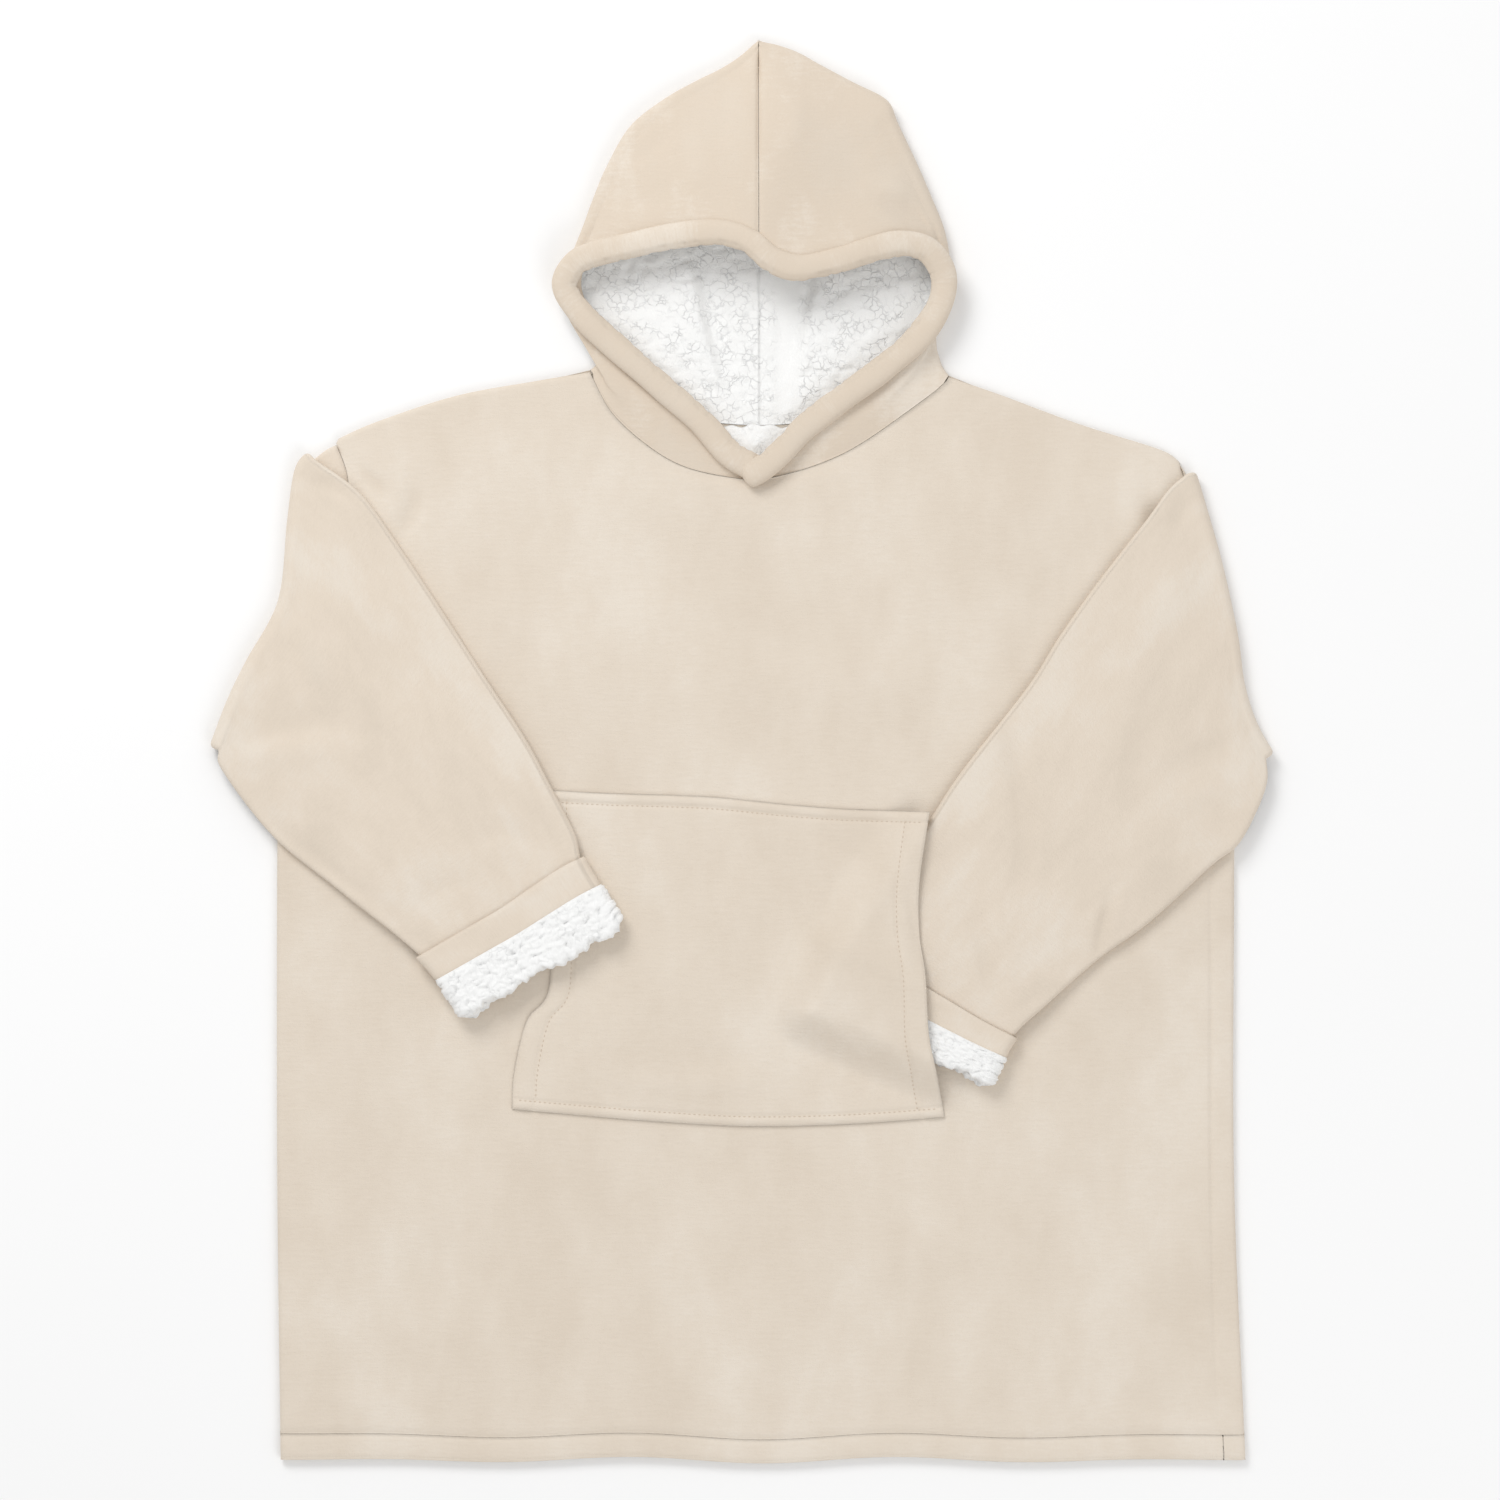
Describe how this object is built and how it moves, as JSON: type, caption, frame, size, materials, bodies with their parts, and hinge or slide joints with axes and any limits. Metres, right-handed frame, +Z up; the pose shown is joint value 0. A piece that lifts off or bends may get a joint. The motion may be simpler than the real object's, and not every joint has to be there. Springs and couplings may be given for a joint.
{
  "type": "wearable blanket hoodie",
  "caption": "Oversized fleece hoodie blanket with sherpa lining, belly pocket and turned-back cuffs, laid flat on its back with the sleeves folded over the front.",
  "frame": {"origin": "centre of the bounding box, on the surface that the garment lies on", "axes": "+Y towards the hood, +Z up off the surface with the front side up, +X towards the wearer's left"},
  "size_m": [0.9342, 1.254, 0.0532],
  "materials": {
    "flannel": "oatmeal flannel fleece with a short soft nap",
    "sherpa": "white curly sherpa pile"
  },
  "bodies": {
    "root": {"front_panel": "flannel", "back_panel": "flannel", "hem_band_front": "flannel", "hem_band_back": "flannel", "right_sleeve": "flannel", "left_sleeve": "flannel", "right_cuff_band": "flannel", "left_cuff_band": "flannel", "pocket": "flannel", "hood_right": "flannel", "hood_left": "flannel", "hood_binding": "flannel", "right_cuff_sherpa": "sherpa", "left_cuff_sherpa": "sherpa", "hood_lining_right": "sherpa", "hood_lining_left": "sherpa", "neck_lining": "sherpa"}
  },
  "joints": []
}
